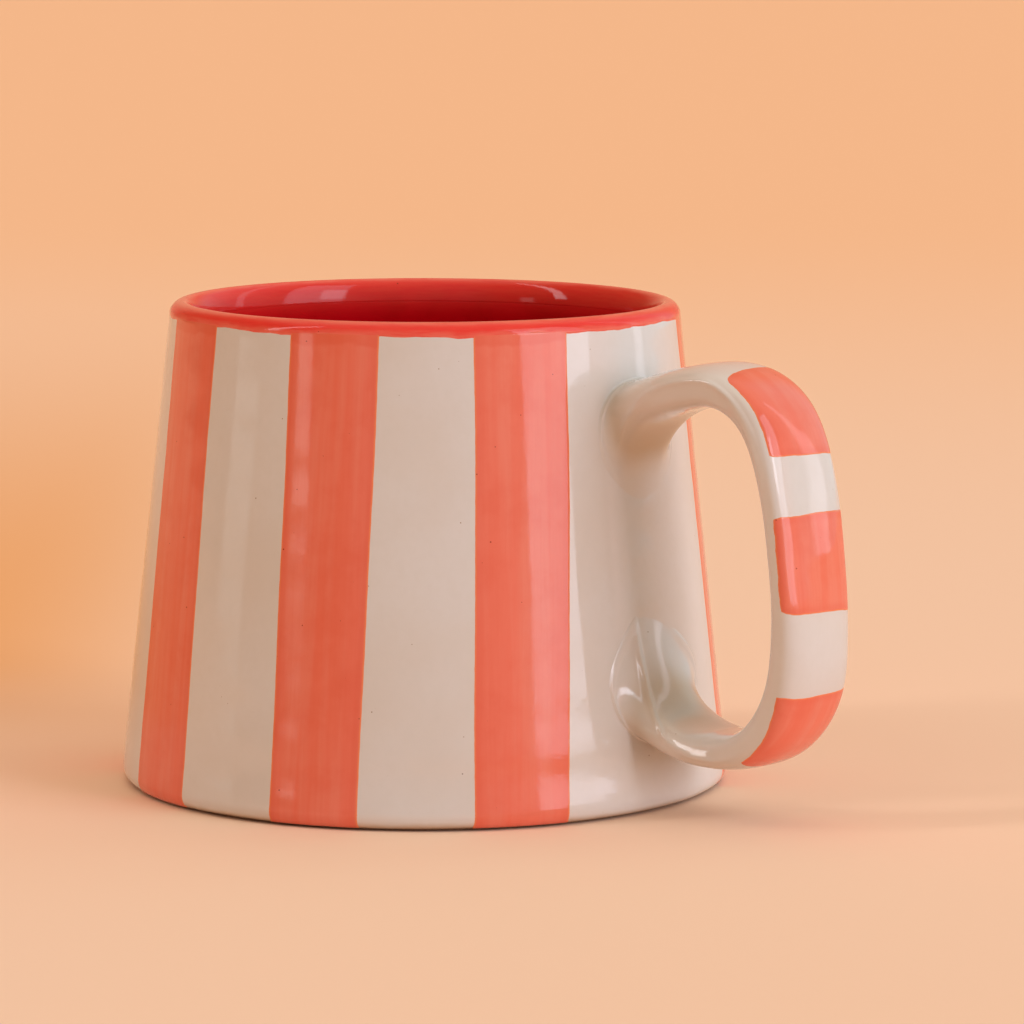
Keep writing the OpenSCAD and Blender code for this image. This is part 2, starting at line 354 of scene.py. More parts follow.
# Colours, as linear red, green and blue
IRON = (0.11, 0.04, 0.012)
FAINT_IRON = (0.36, 0.24, 0.15)
CREAM = (0.69, 0.63, 0.58)
CREAM_WARM = (0.67, 0.59, 0.52)
CREAM_MOTTLE = (0.64, 0.57, 0.50)
CREAM_EDGE = (0.50, 0.31, 0.16)
# Glaze pooled round the handle's joints, darkened with painted shade
CREAM_POOLED_SHADE = (0.56, 0.41, 0.27)
CORAL = (0.81, 0.170, 0.100)
CORAL_DEEP = (0.75, 0.115, 0.058)
CORAL_THIN = (0.82, 0.245, 0.165)
CORAL_LINE = (0.84, 0.25, 0.085)
RIM_RED = (0.79, 0.052, 0.033)
RIM_DEEP = (0.77, 0.030, 0.025)
RIM_THIN = (0.82, 0.20, 0.13)
# The liner's reds: partly its own deep glaze, partly painted shade down inside the cup
LINER_RED_SHADED = (0.55, 0.0008, 0.006)
LINER_DEEP_SHADED = (0.47, 0.0008, 0.004)
SPECK_RED = (0.32, 0.035, 0.012)
CLAY = (0.34, 0.19, 0.10)
CLAY_DARK = (0.20, 0.10, 0.05)
CLAY_GRAIN = (0.07, 0.03, 0.015)


def cream_colour(tree, where):
    """Off-white glaze: slow warm and pale areas, a fine mottle and iron specks."""
    slow = between(tree, noise(tree, where, 26.0, 3.0), 0.35, 0.70)
    fine = between(tree, noise(tree, where, 1.6, 4.0, 0.6), 0.35, 0.75, 0.0, 0.22)
    colour = blend(tree, slow, CREAM, CREAM_WARM)
    colour = blend(tree, fine, colour, CREAM_MOTTLE)
    colour = blend(tree, specks(tree, where, 2.3, 0.14, 0.5), colour, FAINT_IRON)
    return blend(tree, specks(tree, where, 6.5, 0.34, 0.55), colour, IRON)


def cream_glaze():
    """The pale coat: browner where it stops just above the table, and warmer and darker round the handle's
    joints, where a layer of the mesh marks pooled glaze and painted shade.
    """
    material, tree = new_material("cream_glaze")
    where = place_mm(tree)
    height = add(tree, "SeparateXYZ", {0: where}).outputs["Z"]
    uneven = maths(tree, "ADD", height, between(tree, noise(tree, where, 5.0, 3.0), 0, 1, -0.3, 0.3))
    edge = between(tree, uneven, BARE, BARE + 1.3, 0.75, 0.0)
    # Warmer and darker round the handle's joints: pooled glaze, with painted shade in the hollows
    pool_shade = add(tree, "Attribute", attribute_name="pool_shade").outputs["Fac"]
    colour = blend(tree, pool_shade, cream_colour(tree, where), CREAM_POOLED_SHADE)
    colour = blend(tree, edge, colour, CREAM_EDGE)
    finish_glaze(tree, colour, where)
    return material


def brushed(name, deep, body, thin, outline):
    """Brushed colour, deeper where it laps the rim band.

    The brush layer holds millimetres across and along the stroke, and to its edge.
    """
    material, tree = new_material(name)
    where = place_mm(tree)
    brush = add(tree, "Attribute", attribute_name="brush").outputs["Vector"]
    parts = add(tree, "SeparateXYZ", {0: brush})
    across, along, edge = parts.outputs["X"], parts.outputs["Y"], parts.outputs["Z"]
    run = add(tree, "CombineXYZ", {"X": across, "Y": maths(tree, "MULTIPLY", along, 0.045)}).outputs[0]
    hairs = between(tree, noise(tree, run, 0.55, 3.0, 0.6), 0.35, 0.75)
    laps = between(tree, noise(tree, run, 3.4, 2.0, 0.5, 0.3), 0.38, 0.66)
    cloud = between(tree, noise(tree, where, 7.0, 4.0, 0.6), 0.4, 0.75)
    colour = blend(tree, maths(tree, "MULTIPLY", laps, 0.5), body, thin)
    colour = blend(tree, maths(tree, "MULTIPLY", hairs, 0.16), colour, deep)
    colour = blend(tree, maths(tree, "MULTIPLY", cloud, 0.35), colour, deep)
    rim = between(tree, edge, 0.6, 2.0, 0.35, 0.0)
    colour = blend(tree, rim, colour, deep)
    height = add(tree, "SeparateXYZ", {0: where}).outputs["Z"]
    uneven = maths(tree, "ADD", height, between(tree, noise(tree, where, 6.0, 3.0), 0, 1, -1.2, 1.2))
    lap = between(tree, uneven, BAND_LOW - 1.7, BAND_LOW - 1.0, 0.0, 0.5)
    colour = blend(tree, lap, colour, deep)
    line_share = between(tree, edge, 0.1, 0.45, 0.8, 0.0)
    colour = blend(tree, line_share, colour, outline)
    colour = blend(tree, specks(tree, where, 2.1, 0.15, 0.45), colour, SPECK_RED)
    finish_glaze(tree, colour, where, shine=0.4)
    return material


def red_glaze(name):
    """Red glaze: bright where the crest layer is 1 and deep where it is 0.

    It is paler where the thin layer is 1.
    """
    material, tree = new_material(name)
    where = place_mm(tree)
    # Outside, the crest layer is the rim band's own bright red; inside the cup it is painted light near the
    # top, fading to painted shade lower down
    crest = add(tree, "Attribute", attribute_name="crest").outputs["Fac"]
    thin = add(tree, "Attribute", attribute_name="thin").outputs["Fac"]
    turn = add(tree, "VectorMath", {0: where, 1: (0.25, 0.25, 2.2)}, operation="MULTIPLY").outputs[0]
    strokes = between(tree, noise(tree, turn, 1.5, 3.0, 0.6), 0.35, 0.7)
    cloud = between(tree, noise(tree, where, 6.0, 3.0), 0.3, 0.75)
    bright = blend(tree, maths(tree, "MULTIPLY", strokes, 0.55), RIM_RED, RIM_DEEP)
    # The deep liner red is partly painted shade lower in the cup
    deep = blend(tree, cloud, LINER_RED_SHADED, LINER_DEEP_SHADED)
    colour = blend(tree, crest, deep, bright)
    patchy = maths(tree, "MULTIPLY", thin, between(tree, strokes, 0, 1, 1.0, 0.55))
    colour = blend(tree, patchy, colour, RIM_THIN)
    colour = blend(tree, specks(tree, where, 2.6, 0.15, 0.35), colour, SPECK_RED)
    finish_glaze(tree, colour, where, (0.04, 0.08), shine=0.2)
    return material


def clay_material():
    """Bare fired stoneware: matte, sandy, with dark grains."""
    material, tree = new_material("bare_clay")
    where = place_mm(tree)
    grain = noise(tree, where, 0.5, 5.0, 0.7)
    colour = blend(tree, between(tree, grain, 0.35, 0.7), CLAY, CLAY_DARK)
    colour = blend(tree, specks(tree, where, 1.4, 0.16, 0.5), colour, CLAY_GRAIN)
    rough = add(tree, "Bump", {"Height": grain, "Strength": 0.8, "Distance": 0.08 * MM})
    shader = add(
        tree,
        "BsdfPrincipled",
        {
            "Base Color": colour,
            "Roughness": between(tree, noise(tree, where, 2.0), 0.3, 0.7, 0.72, 0.92),
            "Normal": rough.outputs[0],
        },
    )
    add(tree, "OutputMaterial", {"Surface": shader.outputs[0]})
    return material


cream = cream_glaze()
coral = brushed("coral_stroke", CORAL_DEEP, CORAL, CORAL_THIN, CORAL_LINE)
rim_red = red_glaze("rim_red")
liner_red = red_glaze("liner_red")
clay = clay_material()


# ---- Cup -------------------------------------------------------------------------------------

def make_cup_body():
    """The thrown clay cup, with its foot ring, its round corners and its lip."""
    recess = RECESS_TOP + 0.02
    edge = RECESS_R + 1
    # Heights between which the outline is straight: outside, under the inner lip, and inside
    outer_low, lip_low, soft_top, soft_low, inner_top, inner_low = 8, 77, 75, 72, 70, 16
    profile = np.concatenate(
        [
            line((0, recess), (edge, recess), 12),
            line((edge, recess), (edge + recess, 0.05), 4)[1:],
            arc(FOOT_C, FOOT_ROUND, -UP, LEAN, 14),
            line((cone_r(outer_low), outer_low), (cone_r(LIP_C[1]), LIP_C[1]), 30),
            arc(LIP_C, LIP_R, LEAN, UP, 9)[:-1],
            inner_bow(LIP_OUT, lip_low, 14),
            line((inner_r(soft_top, LIP_OUT), soft_top), (inner_r(soft_low, LIP_OUT), soft_low), 4),
            line((cone_r(inner_top, -WALL), inner_top), (cone_r(inner_low, -WALL), inner_low), 24),
            arc(CORNER_C, FLOOR_ROUND, LEAN, -UP, 16),
            line((FLAT_R, FLOOR), (0, FLOOR), 6),
        ]
    )
    make_piece("thrown_cup", *turned(profile), ["cup_body"], "clay_body", clay)


def make_outer_coat():
    """The pale coat, from just above the table to under the rim band, with a rounded lower edge."""
    around, high = 360, 96
    turn = np.arange(around) * TURN / around
    low = BARE + 0.03 + 0.06 * wave(turn * BASE_R, 38, 5)
    top = BAND_LOW + UNDER_BAND
    rise = np.linspace(0, 1, high) ** 1.25
    z = low[None, :] + rise[:, None] * (top - low[None, :])
    edge_round = 0.5
    lift = COAT * np.clip((z - low + 0.02) / edge_round, 0, 1) ** 0.5
    front = wall_r(z, lift)
    back_z = z[[-1, high // 2, 4, 0]]
    back = wall_r(back_z, -0.05)
    r = np.concatenate([front, back])
    z = np.concatenate([z, back_z])
    make_piece(
        "outer_coat",
        ringed(r, z, turn).reshape(-1, 3),
        grid_faces(len(r), around, True, True),
        ["outer_glaze"],
        "outer_glaze",
        cream,
    )


def make_rim_band():
    """The red band over the lip, with a brushed lower edge outside."""
    around = 480
    turn = np.arange(around) * TURN / around
    rim = turn * 43  # millimetres round the rim
    low = BAND_LOW + 0.10 + 0.22 * wave(rim, 31, 11) + 0.06 * wave(rim, 5, 12)
    side = np.linspace(0, 1, 14)
    lip_z = BAND_LOW + BAND_SIDE
    out_z = low[None, :] + side[:, None] * (lip_z - low[None, :])
    out_r = wall_r(out_z, COAT + stroke_lift(out_z - low))
    bow_r = LIP_R + LIP_OUT
    over = arc(LIP_C, bow_r, math.asin((lip_z - LIP_C[1]) / bow_r), UP, 12)[1:-1]
    down = inner_bow(0, BAND_LOW_IN + 0.1, 26)
    sunk = [[inner_r(BAND_LOW_IN, 0.05), BAND_LOW_IN]]
    bow = np.concatenate([over, down, sunk])
    front_r = np.concatenate([out_r, np.repeat(bow[:, :1], around, 1)])
    front_z = np.concatenate([out_z, np.repeat(bow[:, 1:], around, 1)])
    under = np.concatenate([inner_bow(0.24, BAND_LOW_IN, 8)[::-1], arc(LIP_C, LIP_R + 0.1, 1.2, LEAN, 5)])
    back_r = np.concatenate([np.repeat(under[:, :1], around, 1), wall_r(low[None, :], 0.1)])
    back_z = np.concatenate([np.repeat(under[:, 1:], around, 1), low[None, :]])
    r, z = np.concatenate([front_r, back_r]), np.concatenate([front_z, back_z])
    row = np.arange(len(r))[:, None] * np.ones(around)
    is_outside = row < len(side)
    is_inside = (row >= len(front_r) - 20) & (row < len(front_r))
    thin_on_lip = np.clip((z - CLAY_TOP + 0.45) / 0.6, 0, 1) ** 2 * 0.6
    thin_at_edge = np.clip(1 - (z - low) / 1.3, 0, 1) * 0.9
    thin = np.maximum(thin_on_lip, is_outside * thin_at_edge)
    # Inside, the band's bright red fades downwards into the deep liner red: painted light near the top,
    # painted shade below
    crest = np.where(is_inside, red_light_by_height(z), 1.0)
    make_piece(
        "rim_band",
        ringed(r, z, turn).reshape(-1, 3),
        grid_faces(len(r), around, True, True),
        ["rim_band_glaze"],
        "rim_glaze",
        rim_red,
        {"crest": crest.ravel(), "thin": thin.ravel()},
    )


def red_light_by_height(z):
    """Painted light and shade inside the cup: how much of the bright rim red shows at height z, above the
    deep liner red that stands partly for shade lower down.
    """
    return np.clip((z - (CUP_TOP - 7.5)) / 6.5, 0, 1) ** 1.6


def make_liner():
    """The deep red coat inside, up to under the rim band."""
    corner_top = 18
    height = np.linspace(corner_top, BAND_LOW_IN + UNDER_BAND, 60)
    inner_wall = np.stack([inner_r(height, RED_OVER), height], -1)
    inside = np.concatenate(
        [
            line((0, FLOOR + COAT), (CORNER_C[0], FLOOR + COAT), 26)[:-1],
            arc(CORNER_C, FLOOR_ROUND - COAT, -UP, LEAN, 20),
            inner_wall,
        ]
    )
    outside = np.concatenate(
        [
            np.stack([inner_r(height[::-6], COAT), height[::-6]], -1),
            arc(CORNER_C, FLOOR_ROUND, LEAN, -UP, 8),
            line((FLAT_R, FLOOR), (0, FLOOR), 3),
        ]
    )
    points, faces = turned(np.concatenate([inside, outside]))
    # Painted light near the top of the liner, fading to painted shade lower down
    crest = red_light_by_height(points[:, 2])
    make_piece("liner_coat", points, faces, ["liner_glaze"], "liner_glaze", liner_red, {"crest": crest})


def make_underside_coat():
    """The pale coat in the recess under the cup."""
    low, high = RECESS_TOP - COAT, RECESS_TOP - 0.01
    profile = np.concatenate(
        [
            line((0, low), (RECESS_R - 0.3, low), 20),
            line((RECESS_R - 0.1, low + 0.06), (RECESS_R, high), 3),
            line((RECESS_R - 1, high), (0, high), 3),
        ]
    )
    make_piece("underside_coat", *turned(profile, 240), ["underside_glaze"], "underside_glaze", cream)


# ---- Brushed stripes on the wall -------------------------------------------------------------

def stripe_place(node):
    """A stripe's direction and width at its top, then at its foot, from its CAD solid."""
    corners = np.array([v.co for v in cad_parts[node].data.vertices]) / MM
    found = []
    for z in (corners[:, 2].max(), corners[:, 2].min()):
        ring = corners[np.abs(corners[:, 2] - z) < 0.5][:, :2]
        ways = ring / np.linalg.norm(ring, axis=1)[:, None]
        middle = ways.mean(0)
        sideways = ways @ (-middle[1], middle[0])
        middle = ways[[np.argmax(sideways), np.argmin(sideways)]].mean(0)
        width = np.ptp(ring @ (-middle[1], middle[0])) / np.linalg.norm(middle)
        found += [math.atan2(middle[1], middle[0]), width]
    return found


def make_stripe(number):
    """One stroke of colour down the wall; its edges waver and thin out into the coat."""
    node = f"wall_stripe_{number}"
    top_turn, top_w, low_turn, low_w = stripe_place(node)
    low_turn += TURN * round((top_turn - low_turn) / TURN)
    rows, columns = 220, 60
    z = np.linspace(BARE + 0.10, BAND_LOW + 0.7, rows)
    share = (z - z[0]) / (z[-1] - z[0])
    middle = low_turn + share * (top_turn - low_turn)
    half = (low_w + share * (top_w - low_w)) / 2
    left = half + 0.12 * wave(z, 61, 20 + number, 2) + 0.018 * wave(z, 4.5, 40 + number, 3)
    right = half + 0.12 * wave(z, 67, 60 + number, 2) + 0.018 * wave(z, 5.1, 80 + number, 3)
    u = np.sin(np.linspace(-1, 1, columns) * math.pi / 2)
    across = np.where(u < 0, u * left[:, None], u * right[:, None])
    to_edge = np.minimum(left[:, None] + across, right[:, None] - across)
    height = np.repeat(z[:, None], columns, 1)
    lift = stroke_lift(to_edge)
    layers = []
    for out in (COAT + lift, COAT - SUNK + 0 * lift):
        r = wall_r(height, out)
        layers.append(ringed(r, height, middle[:, None] + across / r))
    points, faces = sheet(*layers)
    along = height + 97.0 * number
    brush = np.stack([across + 31.0 * number, along, to_edge], -1).reshape(-1, 3)
    brush = np.concatenate([brush, brush])
    make_piece(f"stripe_{number}", points, faces, [node], "stripe_colour", coral, {"brush": brush})


# ---- Handle ----------------------------------------------------------------------------------

PATH = [
    (57, 71.9), (62, 72.6), (67, 71.6), (72.2, 67.8), (75.1, 62.5), (76.6, 56.5), (77.85, 49),
    (78.85, 41), (79.6, 33), (79.4, 25), (77.3, 18.5), (73, 13.5), (68, 11.6), (62, 11.5),
]
STRAP_W = 17.8  # width
STRAP_T, STRAP_T_TOP, STRAP_T_LOW = 4.7, 6.8, 6.4  # thickness halfway, at the top and at the low bend
THINNEST = 0.43  # where along the strap it is thinnest
LOW_SPAN = 0.74  # how slowly the thickness changes below that
SQUARE_OUT, SQUARE_IN = 2.7, 4.0  # how square the strap's outer and inner edges are
SOFT_FROM = 0.7  # where along the strap its inner edges start to round off
STRAP_PULL, WALL_PULL = 0.6, 0.45  # how far a flare keeps the strap's direction, and the wall's
CORNER_TWIST = 0.42  # how far the strap's inner corners turn towards each other at a joint
SEAT_FLANGE = 2.8, 4.2  # how far a joint's edge runs flat on the wall: at its sides, at its inner tip
SIDES = 128  # points round the handle: 0 far edge, a quarter outer face, a half near edge
FLARE_ROWS, STRAP_ROWS = 44, 190
MARKED_ROWS = FLARE_ROWS + 110  # rows from the wall that the finger marks of a joint may reach


def smooth_path():
    """The strap's middle line as even [x, z] points with their directions, on one smooth curve."""
    knots = np.array(PATH, float)
    n = len(knots)
    u = np.concatenate([[0], np.cumsum(np.linalg.norm(np.diff(knots, axis=0), axis=1))])
    h = np.diff(u)
    system, right = np.eye(n), np.zeros((n, 2))
    for i in range(1, n - 1):
        system[i, i - 1 : i + 2] = h[i - 1], 2 * (h[i - 1] + h[i]), h[i]
        right[i] = 6 * ((knots[i + 1] - knots[i]) / h[i] - (knots[i] - knots[i - 1]) / h[i - 1])
    bend = np.linalg.solve(system, right)
    fine = np.linspace(0, u[-1], 1200)
    half = 20  # fine points on each side that the smoothing takes in
    k = np.clip(np.searchsorted(u, fine) - 1, 0, n - 2)
    a, b = ((u[k + 1] - fine) / h[k])[:, None], ((fine - u[k]) / h[k])[:, None]
    curve = a * knots[k] + b * knots[k + 1]
    curve += ((a**3 - a) * bend[k] + (b**3 - b) * bend[k + 1]) * (h[k] ** 2)[:, None] / 6
    window = np.exp(-np.linspace(-2.5, 2.5, 2 * half + 1) ** 2 / 2)
    window /= window.sum()
    before = 2 * curve[0] - curve[half:0:-1]
    after = 2 * curve[-1] - curve[-2 : -2 - half : -1]
    padded = np.concatenate([before, curve, after])
    curve = np.stack([np.convolve(padded[:, c], window, "valid") for c in (0, 1)], -1)
    length = np.concatenate([[0], np.cumsum(np.linalg.norm(np.diff(curve, axis=0), axis=1))])
    even = np.linspace(0, length[-1], STRAP_ROWS)
    points = np.stack([np.interp(even, length, curve[:, c]) for c in (0, 1)], -1)
    ahead = np.gradient(points, axis=0)
    return points, ahead / np.linalg.norm(ahead, axis=1)[:, None]


def squared(c, square):
    """A cosine or sine bent so that the outline it makes is squarer than an ellipse."""
    return np.sign(c) * np.abs(c) ** (2 / square)


def strap_rows(out):
    """Points round the strap, a row for each point of its line; extra thickness lies inside."""
    points, ahead = smooth_path()
    a = np.arange(SIDES) * TURN / SIDES
    along = np.linspace(0, 1, len(points))[:, None]
    bend = along - THINNEST
    upper = (STRAP_T_TOP - STRAP_T) * np.sin(math.pi * bend) ** 2
    lower = (STRAP_T_LOW - STRAP_T) * np.abs(np.sin(math.pi * bend / LOW_SPAN)) ** 3
    thick = STRAP_T + np.where(bend < 0, upper, lower)
    soft = np.clip((along - SOFT_FROM) / (1 - SOFT_FROM), 0, 1)
    soft = soft**2 * (3 - 2 * soft) * (1.3 + 0.3 * np.cos(a))
    square = np.where(np.sin(a) > 0, SQUARE_OUT, SQUARE_IN - soft)
    across = (STRAP_W / 2 + out) * squared(np.cos(a), square)
    up = (thick / 2 + out) * squared(np.sin(a), square) + (STRAP_T - thick) / 2
    x = points[:, :1] - ahead[:, 1:] * up
    z = points[:, 1:] + ahead[:, :1] * up
    return np.stack([x, across + 0 * x, z], -1), ahead


def seat(upper, out):
    """Outline of a joint on the wall as y and z, from the slip pad under it.

    Both are rounded oblongs. The upper one hangs a little low, and the lower one narrows upwards to
    a blunt tip that leans to the near side.
    """
    low, high = box_mm("upper_luting_slip" if upper else "lower_luting_slip")
    w, h = high[1] - low[1], high[2] - low[2]
    a = np.arange(SIDES) * TURN / SIDES
    far = np.cos(a) > 0
    twist = CORNER_TWIST * np.where(far & (not upper), 0.0, 1.0)
    a = a - twist * np.sin(2 * a - 3 * math.pi) * (1 - np.sin(a)) / 2
    r = h / 2 + 0.1 + out
    side = np.where(np.abs(np.cos(a)) < 0.01, 0, np.sign(np.cos(a))) * (w - h) / 2
    rise = (1 if upper else -1) * np.sin(a)
    tip = np.clip(rise, 0, 1)
    z = (low[2] + high[2]) / 2 + r * rise
    if upper:
        y = side + r * np.cos(a)
        z = z - 1.0 * tip**2 - 1.1 * np.clip(-rise, 0, 1) ** 2
    else:
        y = side * (1 - tip**2) + r * np.cos(a) * (1 - 0.25 * tip**2) - 2.8 * tip**2
        z = z - 0.7 * tip + 2.4 * tip**4
    return rounded(y), rounded(z)


def rounded(values):
    """Values round a closed outline with small corners smoothed away."""
    weights = np.exp(-(np.arange(-4, 5) / 2.2) ** 2)
    return sum(w * np.roll(values, k) for k, w in zip(range(-4, 5), weights)) / weights.sum()


def on_wall(y, z, out=0.0):
    """Points on the outside of the wall's coat, moved out along X by a distance."""
    return np.stack([np.sqrt(wall_r(z, COAT) ** 2 - y**2) + out, y, z], -1)


def near_turn():
    """Each side's place round the strap, both halves alike: 0.25 outer face, 0.5 edge, 0.75 inner face."""
    turn = np.arange(SIDES) / SIDES
    return np.where((turn > 0.25) & (turn < 0.75), turn, (0.5 - turn) % 1)


def ease(x, start, end):
    """0 before start, 1 after end and smooth between them."""
    t = np.clip((x - start) / (end - start), 0, 1)
    return t * t * (3 - 2 * t)


def seat_flange():
    """How far each side of a joint's edge runs flat on the wall."""
    low, high = SEAT_FLANGE
    return low + (high - low) * ease(near_turn(), 0.54, 0.7)


def flare_rows(upper, out, ring, ahead):
    """Rows of a flared end, from the strap's ring to the wall."""
    y, z = seat(upper, out)
    wall = on_wall(y, z, out - COAT - 0.03)
    inward = np.stack([y.mean() - y, z.mean() - z], -1)
    inward *= seat_flange()[:, None] / np.linalg.norm(inward, axis=1)[:, None]
    along_y = y + WALL_PULL * (ring[:, 1] - y) + inward[:, 0]
    along_z = z + WALL_PULL * (ring[:, 2] - z) + inward[:, 1]
    along = on_wall(along_y, along_z, out - COAT)
    pull = STRAP_PULL * (ring[:, 0] - wall[:, 0])[:, None]
    back = np.array([ahead[0], 0, ahead[1]]) * (-1 if upper else 1)
    leave = ring + pull * back
    t = np.linspace(1, 0, FLARE_ROWS + 1)[1:, None, None]
    rows = (1 - t) ** 3 * wall + 3 * t * (1 - t) ** 2 * along + 3 * t * t * (1 - t) * leave + t**3 * ring
    root = wall - np.array([0.2, 0, 0])
    return np.concatenate([rows, root[None]])


def grid_normals(grid):
    """Unit normals of a grid of points that closes on itself across its columns."""
    down = np.gradient(grid, axis=0)
    side = (np.roll(grid, -1, 1) - np.roll(grid, 1, 1)) / 2
    normal = np.cross(side, down)
    return normal / np.maximum(np.linalg.norm(normal, axis=-1, keepdims=True), 1e-9)


def handle_grid(out):
    """The whole handle's points from the upper joint to the lower one, and its outward normals."""
    strap, ahead = strap_rows(out)
    upper = flare_rows(True, out, strap[0], ahead[0])[::-1]
    lower = flare_rows(False, out, strap[-1], ahead[-1])
    grid = np.concatenate([upper, strap, lower])
    normal = grid_normals(grid)
    middle = grid.mean(1, keepdims=True)
    if np.sum(normal * (grid - middle)) < 0:
        normal = -normal
    return grid, normal


def bump_line(s, middle, width, height):
    """Height of a rounded ridge at s."""
    return height * np.exp(-(((s - middle) / width) ** 2))


BEAD_OUT, BEAD_W, BEAD_H = 1.2, 0.6, 0.32  # a bead's distance from the joint's edge, half width, height
RIDGE_W, RIDGE_H = 0.018, 0.34  # a ridge's half width, as a share of the way round, and height
# Where round each joint the finger left its bead: from nothing to full, and back to nothing
BEAD_FROM = {True: (0.26, 0.33), False: (0.36, 0.46)}
BEAD_TO = {True: (0.52, 0.60), False: (0.60, 0.66)}
# The ridge a finger left along each edge of the strap: rows from the wall, and places round it
RIDGE = {
    True: ((10, 20, 30, 44, 61, 77, 94), (0.575, 0.552, 0.515, 0.466, 0.456, 0.497, 0.518)),
    False: ((2, 14, 22, 30, 36, 44, 54), (0.628, 0.624, 0.608, 0.565, 0.515, 0.494, 0.480)),
}
# The rows where it starts, is full, starts to fade and has gone
RIDGE_ENDS = {True: (8, 20, 84, 112), False: (0, 5, 46, 66)}


def joint_marks(grid, upper):
    """The bead and the ridge fingers left at a joint: how far each point stands out, in mm."""
    rows = grid if upper else grid[::-1]
    rows = rows[1:MARKED_ROWS]
    step = np.linalg.norm(np.diff(rows, axis=0), axis=-1)
    away = np.concatenate([np.zeros((1, SIDES)), np.cumsum(step, 0)])
    turn = near_turn()
    a = np.arange(SIDES) * TURN / SIDES
    pressed = ease(turn, *BEAD_FROM[upper]) * (1 - ease(turn, *BEAD_TO[upper]))
    pressed = pressed * np.where(np.cos(a) > 0, 0.6, 1.0) * (1 + 0.2 * np.sin(3 * a + 1))
    wander = 0.12 * np.sin(2 * a + 0.6) + 0.08 * np.sin(5 * a)
    marks = bump_line(away, BEAD_OUT + wander, BEAD_W, BEAD_H)
    found = np.zeros((2, *grid.shape[:2]))
    found[0, 1:MARKED_ROWS] = marks * pressed
    row = np.arange(len(rows))[:, None]
    crest = np.interp(row, *RIDGE[upper])
    start, full, fade, end = RIDGE_ENDS[upper]
    strength = ease(row, start, full) * (1 - ease(row, fade, end)) * np.where(np.cos(a) > 0, 0.1, 1.0)
    found[1, 1:MARKED_ROWS] = strength * bump_line(turn, crest, RIDGE_W, RIDGE_H)
    return found if upper else found[:, ::-1]


def handle_marks(grid):
    """Finger marks on the strap and beads round its joints: how far each point stands out, in mm."""
    rows = len(grid)
    i = np.arange(rows)[:, None]
    a = np.arange(SIDES)[None, :] * TURN / SIDES
    hand = 0.07 * np.sin(i / 17 + 2 * a) + 0.05 * np.sin(i / 9.5 - a + 1) + 0.04 * np.sin(i / 6 + 3 * a)
    fade = np.clip(np.minimum(i, rows - 1 - i) / 14, 0, 1)
    bead, ridge = joint_marks(grid, True) + joint_marks(grid, False)
    return hand * fade + ridge, bead


def pooled_and_shaded(grid):
    """How much pooled glaze and painted shade darken each point of the handle: round the joints, mostly
    inside.
    """
    away = np.hypot(grid[..., 0], grid[..., 1]) - wall_r(grid[..., 2], COAT)
    a = np.arange(SIDES) * TURN / SIDES
    # Heaviest on the strap's inner side, under it, where the painted shade is deepest
    under = 0.45 + 0.55 * np.clip(-np.sin(a), 0, 1)
    return under * np.exp(-((np.clip(away, 0, None) / 6.5) ** 2)) * ease(away, 0.1, 2.2)


def placed_handle(out):
    """The handle with its finger marks; the beads stand out from the wall as much as from the strap."""
    grid, normal = handle_grid(out)
    marks, beads = handle_marks(grid)
    wall = grid * (1, 1, 0)
    lift = normal + wall / np.linalg.norm(wall, axis=-1, keepdims=True)
    lift /= np.maximum(np.linalg.norm(lift, axis=-1, keepdims=True), 0.5)
    return grid + normal * marks[..., None] + lift * beads[..., None], normal


def make_handle():
    """The clay strap and the pale coat round it."""
    outside, _ = placed_handle(COAT)
    inside, _ = placed_handle(0.0)
    shell = np.concatenate([outside, inside[::-1]])
    # Pooled glaze and painted shade round the joints, kept as a layer for the coat's colour
    pool_shade = pooled_and_shaded(outside)
    make_piece(
        "handle_coat",
        shell.reshape(-1, 3),
        grid_faces(len(shell), SIDES, True, True),
        ["handle_glaze"],
        "handle_glaze",
        cream,
        {"pool_shade": np.concatenate([pool_shade, pool_shade[::-1]]).ravel()},
    )
    clay_rows = inside[3:-3:2, ::2]
    caps = [clay_rows[0].mean(0), clay_rows[-1].mean(0)]
    n, m = clay_rows.shape[:2]
    points = np.concatenate([clay_rows.reshape(-1, 3), caps])
    faces = grid_faces(n, m, False, True)
    faces += [(n * m, (j + 1) % m, j) for j in range(m)]
    faces += [(n * m + 1, (n - 1) * m + j, (n - 1) * m + (j + 1) % m) for j in range(m)]
    make_piece("pulled_strap", points, faces, ["handle_strap"], "clay_body", clay)


def make_slip(upper):
    """The slip pad between the wall and the strap, hidden in the joint."""
    drawn_in = 1.2
    y, z = seat(upper, -drawn_in)
    scales = np.linspace(0.02, 1, 10)[:, None]
    ys, zs = y.mean() + scales * (y - y.mean()), z.mean() + scales * (z - z.mean())
    front = on_wall(ys, zs, -0.08)
    back = on_wall(ys, zs, -COAT)
    grid = np.concatenate([front, back[::-1]])
    word = "upper" if upper else "lower"
    make_piece(
        f"{word}_slip",
        grid.reshape(-1, 3),
        grid_faces(len(grid), SIDES, True, True),
        [f"{word}_luting_slip"],
        "luting_slip",
        clay,
    )


def sample(grid, i, j):
    """Points of a wrapped grid at fractional rows i and columns j."""
    i0 = np.clip(np.floor(i).astype(int), 0, len(grid) - 2)
    j0 = np.floor(j).astype(int)
    fi, fj = (i - i0)[..., None], (j - j0)[..., None]
    a, b = grid[i0, j0 % SIDES], grid[i0, (j0 + 1) % SIDES]
    c, d = grid[i0 + 1, j0 % SIDES], grid[i0 + 1, (j0 + 1) % SIDES]
    return (a * (1 - fj) + b * fj) * (1 - fi) + (c * (1 - fj) + d * fj) * fi


